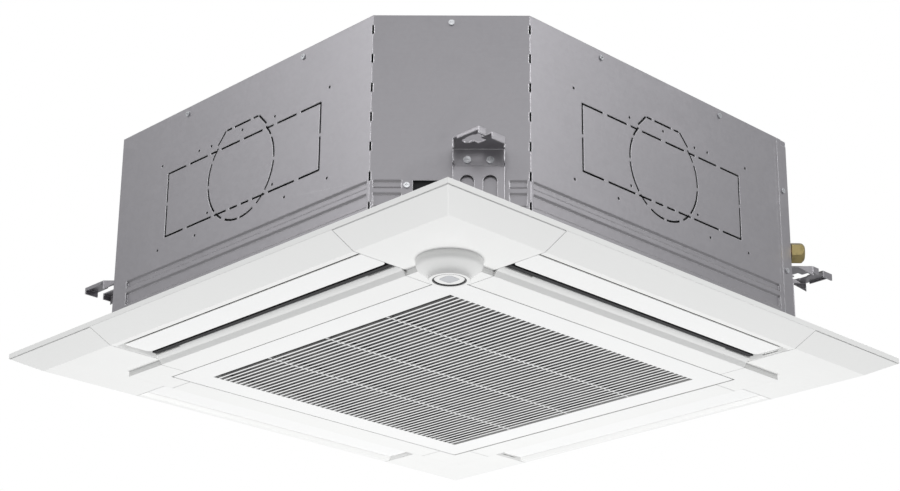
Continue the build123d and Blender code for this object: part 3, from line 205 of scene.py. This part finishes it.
def make_moulded_grain():
    """Spark-eroded mould skin: a fine grain, with slow changes of tone where the plastic flowed."""
    flow_size = 0.18
    gloss_patch_size = 0.045
    tree, given, result = new_group(
        "moulded grain",
        [("Grain Size", 0.0006), ("Flow", 0.02)],
        [("Tone", "NodeSocketFloat"), ("Height", "NodeSocketFloat"), ("Gloss Patch", "NodeSocketFloat")])
    place = piece_place(tree)
    pits = noise(tree, place, given["Grain Size"], detail=2.0, roughness=0.6)
    flow = noise(tree, place, flow_size, detail=3.0, roughness=0.55, distortion=0.4)
    patch = noise(tree, place, gloss_patch_size, detail=4.0, roughness=0.6)
    slow = sums(tree, "MULTIPLY", around_zero(tree, flow), given["Flow"])
    join(tree, sums(tree, "ADD", 1.0, slow), result["Tone"])
    join(tree, pits, result["Height"])
    join(tree, around_zero(tree, patch), result["Gloss Patch"])
    return tree


def make_settled_dust():
    """Dust on faces that look up, thicker in soft patches."""
    speck_size = 0.0015
    tree, given, result = new_group(
        "settled dust",
        [("Amount", 0.3), ("Patch Size", 0.05)],
        [("Mask", "NodeSocketFloat")])
    up = add_node(tree, "ShaderNodeSeparateXYZ")
    join(tree, add_node(tree, "ShaderNodeNewGeometry").outputs["Normal"], up.inputs[0])
    facing = spread(tree, up.outputs["Z"], 0.2, 0.9)
    patches = noise(tree, piece_place(tree), given["Patch Size"], detail=5.0, roughness=0.65)
    specks = noise(tree, piece_place(tree), speck_size, detail=2.0, roughness=0.5)
    soft = spread(tree, patches, 0.3, 0.7, 0.35, 1.0)
    speckled = spread(tree, specks, 0.3, 0.6, 0.6, 1.0)
    thick = sums(tree, "MULTIPLY", soft, speckled)
    mask = sums(tree, "MULTIPLY", sums(tree, "MULTIPLY", facing, thick), given["Amount"], clamp=True)
    join(tree, mask, result["Mask"])
    return tree


def make_handling_marks():
    """Hand smudges and hairline scratches, as one mask that changes roughness."""
    smudge_size = 0.09
    scratch_size = 0.05
    short_scratch_size = 0.04
    along_x = (1.0, 60.0, 60.0)         # stretched so that the scratches run along X
    along_y = (60.0, 1.0, 9.0)
    tree, given, result = new_group(
        "handling marks",
        [("Smudges", 0.5), ("Scratches", 0.3)],
        [("Mask", "NodeSocketFloat")])
    cloud = noise(tree, piece_place(tree), smudge_size, detail=5.0, roughness=0.7, distortion=0.8)
    smear = spread(tree, cloud, 0.5, 0.75)
    streaks = noise(tree, piece_place(tree, along_x), scratch_size, detail=1.0)
    cross_streaks = noise(tree, piece_place(tree, along_y), short_scratch_size, detail=1.0)
    one_way = spread(tree, streaks, 0.72, 0.8)
    other_way = spread(tree, cross_streaks, 0.74, 0.82)
    lines = sums(tree, "MAXIMUM", one_way, other_way)
    smear = sums(tree, "MULTIPLY", smear, given["Smudges"])
    lines = sums(tree, "MULTIPLY", lines, given["Scratches"])
    join(tree, sums(tree, "MAXIMUM", smear, lines, clamp=True), result["Mask"])
    return tree


def make_foam_cells():
    """Expanded beads or open cells of a foam."""
    tree, given, result = new_group(
        "foam cells",
        [("Cell Size", 0.003)],
        [("Tone", "NodeSocketFloat"), ("Height", "NodeSocketFloat")])
    place = piece_place(tree)
    bead = cells(tree, place, given["Cell Size"], output="Distance")
    shade = one_channel(tree, cells(tree, place, given["Cell Size"]))
    join(tree, spread(tree, shade, 0.0, 1.0, 0.94, 1.04), result["Tone"])
    join(tree, sums(tree, "SUBTRACT", 1.0, bead), result["Height"])
    return tree


zinc_spangle = make_zinc_spangle()
edge_wear_and_highlight = make_edge_wear_and_highlight()
moulded_grain = make_moulded_grain()
settled_dust = make_settled_dust()
handling_marks = make_handling_marks()
foam_cells = make_foam_cells()


# ---------------------------------------------------------------- finishes

DUST = (0.55, 0.53, 0.50, 1.0)
WHITE = (1.0, 1.0, 1.0, 1.0)
EDGE_WEAR_AND_HIGHLIGHT_ZINC = (0.82, 0.82, 0.84, 1.0)   # along a cut or folded edge: partly wear, mostly a painted highlight where light catches the lip
DUST_ROUGHNESS = 0.4                    # added where dust lies
MOULDED_INDEX = 1.49


def new_finish(name):
    """A material with its Principled shader."""
    material = bpy.data.materials.new(name)
    material.use_nodes = True
    tree = material.node_tree
    tree.nodes.clear()
    shader = add_node(tree, "ShaderNodeBsdfPrincipled")
    out = add_node(tree, "ShaderNodeOutputMaterial")
    tree.links.new(shader.outputs[0], out.inputs["Surface"])
    return material, tree, shader.inputs


def toned(tree, colour, tone):
    """A colour made lighter or darker by a tone around 1."""
    node = add_node(tree, "ShaderNodeVectorMath", operation="SCALE")
    join(tree, colour, node.inputs[0])
    join(tree, tone, node.inputs["Scale"])
    return node.outputs[0]


def bumped(tree, height, depth, normal=None):
    """A Bump node: depth is the height's full swing in metres."""
    node = add_node(tree, "ShaderNodeBump")
    node.inputs["Strength"].default_value = 1.0
    node.inputs["Distance"].default_value = depth
    join(tree, height, node.inputs["Height"])
    if normal is not None:
        join(tree, normal, node.inputs["Normal"])
    return node.outputs[0]


def zinc_coat(name, colour, crystal, contrast, rough, rolling=0.05, dust=0.25):
    """Galvanised steel: spangle, edges lightened by wear and by a painted highlight, smudges and dust on top.
    """
    edge_width = 0.0020
    spangle_depth = 0.00002
    material, tree, shader = new_finish(name)
    spangle = use_group(tree, zinc_spangle, Crystal_Size=crystal, Contrast=contrast, Rolling=rolling)
    edges = use_group(tree, edge_wear_and_highlight, Width=edge_width, Breakup=0.3)
    marks = use_group(tree, handling_marks, Smudges=0.5, Scratches=0.35)
    settled = use_group(tree, settled_dust, Amount=dust, Patch_Size=0.07)
    face = toned(tree, colour, spangle["Tone"])
    # Lightens the zinc along edges: wear, and a painted highlight where light catches the edge.
    face = mixed(tree, sums(tree, "MULTIPLY", edges["Mask"], 0.8), face, EDGE_WEAR_AND_HIGHLIGHT_ZINC)
    join(tree, mixed(tree, settled["Mask"], face, DUST), shader["Base Color"])
    join(tree, sums(tree, "SUBTRACT", 1.0, settled["Mask"]), shader["Metallic"])
    shine = sums(tree, "ADD", rough, spangle["Roughness Shift"])
    shine = sums(tree, "MULTIPLY_ADD", marks["Mask"], 0.10, shine)
    shine = sums(tree, "MULTIPLY_ADD", settled["Mask"], DUST_ROUGHNESS, shine, clamp=True)
    join(tree, shine, shader["Roughness"])
    join(tree, bumped(tree, spangle["Height"], spangle_depth, edges["Rounded Normal"]), shader["Normal"])
    return material


def moulded(name, colour, rough, grain=0.0006, depth=0.000012, dust=0.2):
    """Moulded plastic: fine mould skin, rounded edges whitened by a painted highlight, faint flow and
    smudges.
    """
    edge_width = 0.0012
    flow = 0.02
    gloss_swing = 0.10
    material, tree, shader = new_finish(name)
    skin = use_group(tree, moulded_grain, Grain_Size=grain, Flow=flow)
    edges = use_group(tree, edge_wear_and_highlight, Width=edge_width, Breakup=0.3)
    marks = use_group(tree, handling_marks, Smudges=0.45, Scratches=0.2)
    settled = use_group(tree, settled_dust, Amount=dust, Patch_Size=0.06)
    face = toned(tree, colour, skin["Tone"])
    # Whitens sharp edges: a painted highlight.
    face = mixed(tree, sums(tree, "MULTIPLY", edges["Mask"], 0.45), face, WHITE, "SCREEN")
    join(tree, mixed(tree, settled["Mask"], face, DUST), shader["Base Color"])
    shine = sums(tree, "MULTIPLY_ADD", skin["Gloss Patch"], gloss_swing, rough)
    shine = sums(tree, "MULTIPLY_ADD", marks["Mask"], 0.08, shine)
    shine = sums(tree, "MULTIPLY_ADD", settled["Mask"], DUST_ROUGHNESS, shine, clamp=True)
    join(tree, shine, shader["Roughness"])
    join(tree, bumped(tree, skin["Height"], depth, edges["Rounded Normal"]), shader["Normal"])
    shader["IOR"].default_value = MOULDED_INDEX
    return material


def plain_metal(name, colour, rough, grain_stretch, grain_size=0.004, tarnish=None, tarnish_share=0.0):
    """Turned, drawn or plated metal: a fine grain one way, tarnish in patches, edges lightened by wear and by
    a painted highlight.
    """
    swing = 0.12
    edge_width = 0.0004
    edge_gain = 1.25
    tarnish_size = 0.012
    grain_depth = 0.000015
    material, tree, shader = new_finish(name)
    edges = use_group(tree, edge_wear_and_highlight, Width=edge_width, Breakup=0.3)
    marks = use_group(tree, handling_marks, Smudges=0.6, Scratches=0.5)
    drawn = noise(tree, piece_place(tree, grain_stretch), grain_size, detail=3.0, roughness=0.6)
    face = toned(tree, colour, spread(tree, drawn, 0.3, 0.7, 1.0 - swing, 1.0 + swing))
    if tarnish:
        blotches = noise(tree, piece_place(tree), tarnish_size, detail=5.0, roughness=0.7)
        stained = spread(tree, blotches, 0.45, 0.7)
        face = mixed(tree, sums(tree, "MULTIPLY", stained, tarnish_share), face, tarnish)
    # Lighter edges: partly wear, partly a painted highlight.
    bright = tuple(min(1.0, channel * edge_gain) for channel in colour) + (1.0,)
    join(tree, mixed(tree, sums(tree, "MULTIPLY", edges["Mask"], 0.5), face, bright), shader["Base Color"])
    shader["Metallic"].default_value = 1.0
    shine = sums(tree, "MULTIPLY_ADD", around_zero(tree, drawn), 0.25, rough)
    join(tree, sums(tree, "MULTIPLY_ADD", marks["Mask"], 0.12, shine, clamp=True), shader["Roughness"])
    join(tree, bumped(tree, drawn, grain_depth, edges["Rounded Normal"]), shader["Normal"])
    return material


def foamed(name, colour, cell, rough, depth):
    """Foamed insulation: fine cells, matte, faintly stained, a little dust."""
    dust = 0.2
    stain_size = 0.08
    material, tree, shader = new_finish(name)
    beads = use_group(tree, foam_cells, Cell_Size=cell)
    settled = use_group(tree, settled_dust, Amount=dust, Patch_Size=0.05)
    stain = noise(tree, piece_place(tree), stain_size, detail=4.0, roughness=0.6)
    face = toned(tree, toned(tree, colour, beads["Tone"]), spread(tree, stain, 0.3, 0.7, 0.95, 1.03))
    join(tree, mixed(tree, settled["Mask"], face, DUST), shader["Base Color"])
    join(tree, spread(tree, stain, 0.2, 0.8, rough - 0.06, rough + 0.06), shader["Roughness"])
    join(tree, bumped(tree, beads["Height"], depth), shader["Normal"])
    return material


def fin_stack(name):
    """Edges of stacked aluminium fins: upright, with painted shade in the fine gaps between them, wavy where
    they are bent.
    """
    pitch = 0.0016
    sway = 0.0015                       # how far the bent fins lean
    sway_scale = 14.0
    tone_size = 0.03
    gap_depth = 0.0006
    # Painted shade for the gaps between the fins, less metallic there.
    painted_gap_shade = (0.05, 0.055, 0.06, 1.0)
    aluminium = (0.72, 0.74, 0.76, 1.0)
    material, tree, shader = new_finish(name)
    axes = add_node(tree, "ShaderNodeSeparateXYZ")
    bend = add_node(tree, "ShaderNodeVectorMath", operation="MULTIPLY_ADD")
    warp = add_node(tree, "ShaderNodeTexNoise")
    warp.inputs["Scale"].default_value = sway_scale
    join(tree, piece_place(tree), warp.inputs["Vector"])
    join(tree, warp.outputs["Color"], bend.inputs[0])
    join(tree, (sway, sway, 0.0), bend.inputs[1])
    join(tree, piece_place(tree), bend.inputs[2])
    join(tree, bend.outputs[0], axes.inputs[0])
    facing = add_node(tree, "ShaderNodeSeparateXYZ")
    join(tree, add_node(tree, "ShaderNodeNewGeometry").outputs["Normal"], facing.inputs[0])
    faces_x = sums(tree, "GREATER_THAN", sums(tree, "ABSOLUTE", facing.outputs["X"]), 0.7)
    along = add_node(tree, "ShaderNodeMix", data_type="FLOAT")
    join(tree, faces_x, along.inputs[0])
    join(tree, axes.outputs["X"], along.inputs[2])
    join(tree, axes.outputs["Y"], along.inputs[3])
    wave = sums(tree, "SINE", sums(tree, "MULTIPLY", along.outputs[0], 2.0 * math.pi / pitch))
    fin = spread(tree, wave, -0.5, 0.6)
    join(tree, mixed(tree, fin, painted_gap_shade, aluminium), shader["Base Color"])
    join(tree, spread(tree, fin, 0.0, 1.0, 0.2, 1.0), shader["Metallic"])
    tone = noise(tree, piece_place(tree), tone_size, detail=4.0)
    join(tree, spread(tree, tone, 0.2, 0.8, 0.28, 0.46), shader["Roughness"])
    join(tree, bumped(tree, fin, gap_depth), shader["Normal"])
    return material


def net_mesh(name):
    """Filter net: crossed threads as a fine relief, greyer where dust has gathered."""
    pitch = 0.0022
    thread_depth = 0.0004
    grime_size = 0.05
    clean = (0.035, 0.035, 0.038, 1.0)
    dusty = (0.14, 0.135, 0.13, 1.0)
    material, tree, shader = new_finish(name)
    axes = add_node(tree, "ShaderNodeSeparateXYZ")
    join(tree, piece_place(tree), axes.inputs[0])
    threads = []
    for axis in ("X", "Y"):
        wave = sums(tree, "SINE", sums(tree, "MULTIPLY", axes.outputs[axis], 2.0 * math.pi / pitch))
        threads.append(spread(tree, wave, 0.1, 0.5))
    woven = sums(tree, "MAXIMUM", threads[0], threads[1])
    grime = noise(tree, piece_place(tree), grime_size, detail=5.0, roughness=0.65)
    join(tree, mixed(tree, spread(tree, grime, 0.3, 0.75), clean, dusty), shader["Base Color"])
    join(tree, spread(tree, grime, 0.2, 0.8, 0.45, 0.7), shader["Roughness"])
    join(tree, bumped(tree, woven, thread_depth), shader["Normal"])
    return material


def board_finish(name):
    """Circuit board: green lacquer with a faint net of tracks."""
    track_gap = 0.008
    track_depth = 0.00005
    tone_size = 0.02
    lacquer = (0.03, 0.16, 0.06, 1.0)
    over_copper = (0.10, 0.33, 0.14, 1.0)
    material, tree, shader = new_finish(name)
    track = cells(tree, piece_place(tree), track_gap, output="Distance", feature="DISTANCE_TO_EDGE")
    lines = spread(tree, track, 0.04, 0.10, 1.0, 0.0)
    join(tree, mixed(tree, sums(tree, "MULTIPLY", lines, 0.5), lacquer, over_copper), shader["Base Color"])
    tone = noise(tree, piece_place(tree), tone_size, detail=3.0)
    join(tree, spread(tree, tone, 0.2, 0.8, 0.25, 0.4), shader["Roughness"])
    join(tree, bumped(tree, lines, track_depth), shader["Normal"])
    return material


def milky_lens(name):
    """Pressed infrared lens: milky plastic with a shallow grain under a thin gloss."""
    milk = (0.58, 0.59, 0.61)
    grain_depth = 0.00004
    material, tree, shader = new_finish(name)
    skin = use_group(tree, moulded_grain, Grain_Size=0.0011, Flow=0.05)
    edges = use_group(tree, edge_wear_and_highlight, Width=0.0006, Breakup=0.2)
    join(tree, toned(tree, milk, skin["Tone"]), shader["Base Color"])
    join(tree, sums(tree, "MULTIPLY_ADD", skin["Gloss Patch"], 0.1, 0.16), shader["Roughness"])
    join(tree, bumped(tree, skin["Height"], grain_depth, edges["Rounded Normal"]), shader["Normal"])
    shader["Coat Weight"].default_value = 0.4
    return material


ALONG_X = (1.0, 14.0, 14.0)             # stretches of a grain that runs along one axis
ALONG_Z = (14.0, 14.0, 1.0)
EVEN = (1.0, 1.0, 1.0)
COPPER_TARNISH = (0.25, 0.12, 0.07, 1.0)
BRASS_TARNISH = (0.16, 0.13, 0.06, 1.0)

finishes = {
    "galvanised_sheet": zinc_coat(
        "galvanised sheet", (0.375, 0.365, 0.385), crystal=0.005, contrast=0.035, rough=0.44, rolling=0.07),
    "galvanised_bracket": zinc_coat(
        "thick galvanised steel", (0.36, 0.35, 0.37), crystal=0.004, contrast=0.05, rough=0.40, dust=0.15),
    "bright_steel": plain_metal("bright zinc plate", (0.66, 0.67, 0.69), 0.28, ALONG_Z),
    "white_panel": moulded("white panel plastic", (0.86, 0.86, 0.85), 0.34),
    "white_vane": moulded("white vane plastic", (0.89, 0.89, 0.885), 0.30, depth=0.000008),
    "white_grille": moulded("white grille plastic", (0.86, 0.86, 0.855), 0.38),
    "sensor_lens": milky_lens("milky sensor lens"),
    "black_foam": foamed(
        "black cellular foam", (0.022, 0.022, 0.024), cell=0.0016, rough=0.88, depth=0.0002),
    "filter_net": net_mesh("dark filter net"),
    "coil_fins": fin_stack("aluminium fins"),
    "copper_tube": plain_metal(
        "copper tube", (0.72, 0.40, 0.25), 0.30, ALONG_X, tarnish=COPPER_TARNISH, tarnish_share=0.55),
    "brass_nut": plain_metal(
        "dull brass", (0.42, 0.34, 0.16), 0.36, ALONG_X, tarnish=BRASS_TARNISH, tarnish_share=0.5),
    "fan_plastic": moulded("light grey fan plastic", (0.62, 0.63, 0.63), 0.45, dust=0.35),
    "motor_can": plain_metal("cast aluminium", (0.42, 0.43, 0.44), 0.5, EVEN, grain_size=0.0012),
    "rubber": moulded("black rubber", (0.03, 0.03, 0.032), 0.62, grain=0.0009, depth=0.00004, dust=0.3),
    "circuit_board": board_finish("green circuit board"),
    "grey_plastic": moulded("grey plastic", (0.42, 0.43, 0.44), 0.42),
}


def dress_cad_nodes():
    """Every CAD node gets the finish of its material slot."""
    for part in frame["record"]["subparts"]:
        for slot in cad_nodes[part["node"]].material_slots:
            slot.material = finishes[part["material_slot"]]


dress_cad_nodes()


# ---------------------------------------------------------------- stage, lights and camera

ROOM_HEIGHT = 6.0                       # from the floor up to the ceiling
FLOOR_HALF = 40.0
FLOOR_COLOUR = (0.86, 0.86, 0.86)
FLOOR_PATCH = 0.8
FLOOR_GLOW = (0.38, 0.38, 0.38, 1.0)    # for the camera alone: it casts no light on the object
STUDIO_LIGHT = 0.50
STUDIO_TINT = (0.98, 0.99, 1.0, 1.0)


def make_floor():
    """A floor far enough down to be looked at from below; the camera sees it paler than it lights."""
    mesh = bpy.data.meshes.new("room_floor")
    height = CEILING - ROOM_HEIGHT
    turns = [(-1, -1), (1, -1), (1, 1), (-1, 1)]
    corners = [(x * FLOOR_HALF, y * FLOOR_HALF, height) for x, y in turns]
    mesh.from_pydata(corners, [], [(0, 1, 2, 3)])
    floor = bpy.data.objects.new("room_floor", mesh)
    bpy.context.scene.collection.objects.link(floor)
    material, tree, shader = new_finish("pale floor")
    tone = noise(tree, piece_place(tree), FLOOR_PATCH, detail=4.0)
    join(tree, toned(tree, FLOOR_COLOUR, spread(tree, tone, 0.2, 0.8, 0.99, 1.01)), shader["Base Color"])
    join(tree, spread(tree, tone, 0.2, 0.8, 0.7, 0.8), shader["Roughness"])
    shader["Emission Color"].default_value = FLOOR_GLOW
    join(tree, add_node(tree, "ShaderNodeLightPath").outputs["Is Camera Ray"], shader["Emission Strength"])
    mesh.materials.append(material)


def make_world():
    """A plain white studio; what the camera sees is white, and the light on the object is softer."""
    world = bpy.data.worlds.new("studio")
    bpy.context.scene.world = world
    world.use_nodes = True
    tree = world.node_tree
    tree.nodes.clear()
    seen = add_node(tree, "ShaderNodeBackground")
    seen.inputs["Color"].default_value = WHITE
    lit = add_node(tree, "ShaderNodeBackground")
    lit.inputs["Color"].default_value = STUDIO_TINT
    lit.inputs["Strength"].default_value = STUDIO_LIGHT
    which = add_node(tree, "ShaderNodeMixShader")
    join(tree, add_node(tree, "ShaderNodeLightPath").outputs["Is Camera Ray"], which.inputs[0])
    tree.links.new(lit.outputs[0], which.inputs[1])
    tree.links.new(seen.outputs[0], which.inputs[2])
    tree.links.new(which.outputs[0], add_node(tree, "ShaderNodeOutputWorld").inputs["Surface"])


def soft_light(name, place, aim, size, power):
    """A large square light that looks at a point; its power is in watts."""
    data = bpy.data.lights.new(name, "AREA")
    data.shape = "SQUARE"
    data.size = size
    data.energy = power
    lamp = bpy.data.objects.new(name, data)
    bpy.context.scene.collection.objects.link(lamp)
    lamp.location = place
    lamp.rotation_euler = (Vector(aim) - Vector(place)).to_track_quat("-Z", "Y").to_euler()


CASING_MIDDLE = (0.0, 0.0, 0.0)
PANEL_MIDDLE = (0.0, 0.0, CEILING)
LARGE_LAMP = 1.6
SMALL_LAMP = 1.4


def make_lights():
    """One light under the panel, one for each near wall, and a weak one for the near corner."""
    soft_light("light from the floor", (-0.35, 0.35, -2.2), PANEL_MIDDLE, LARGE_LAMP, power=38.5)
    soft_light("light from the left", (-0.6, -2.8, 1.3), CASING_MIDDLE, LARGE_LAMP, power=34.0)
    soft_light("light from the right", (2.8, 0.4, 1.3), CASING_MIDDLE, LARGE_LAMP, power=37.0)
    soft_light("light on the corner", (2.6, -2.6, 1.2), CASING_MIDDLE, SMALL_LAMP, power=7.0)


CAMERA_PLACE = (2.0536, -2.0072, -0.9673 + CEILING)
CAMERA_AIM = (-0.0035, -0.0036, 0.0815 + CEILING)
CAMERA_ROLL = 0.527                     # degrees
FOCAL_PIXELS = 2005.7                   # focal length in pixels of a picture that is PICTURE_WIDE across
PICTURE_WIDE = 900.0
RAISE_PIXELS = 60.0                     # the picture's middle lies this far above the aim
SENSOR_WIDE = 36.0                      # millimetres
NEAREST_SEEN = 0.05
FURTHEST_SEEN = 60.0


def make_camera():
    """The camera at the photograph's viewing angle."""
    data = bpy.data.cameras.new("photo camera")
    data.sensor_width = SENSOR_WIDE
    data.lens = data.sensor_width * FOCAL_PIXELS / PICTURE_WIDE
    data.shift_y = RAISE_PIXELS / PICTURE_WIDE
    data.clip_start = NEAREST_SEEN
    data.clip_end = FURTHEST_SEEN
    camera = bpy.data.objects.new("photo camera", data)
    bpy.context.scene.collection.objects.link(camera)
    look = (Vector(CAMERA_AIM) - Vector(CAMERA_PLACE)).to_track_quat("-Z", "Y").to_matrix().to_4x4()
    roll = Matrix.Rotation(math.radians(CAMERA_ROLL), 4, "Z")
    camera.matrix_world = Matrix.Translation(CAMERA_PLACE) @ look @ roll
    bpy.context.scene.camera = camera


make_floor()
make_world()
make_lights()
make_camera()
bpy.context.scene.view_settings.view_transform = "Standard"
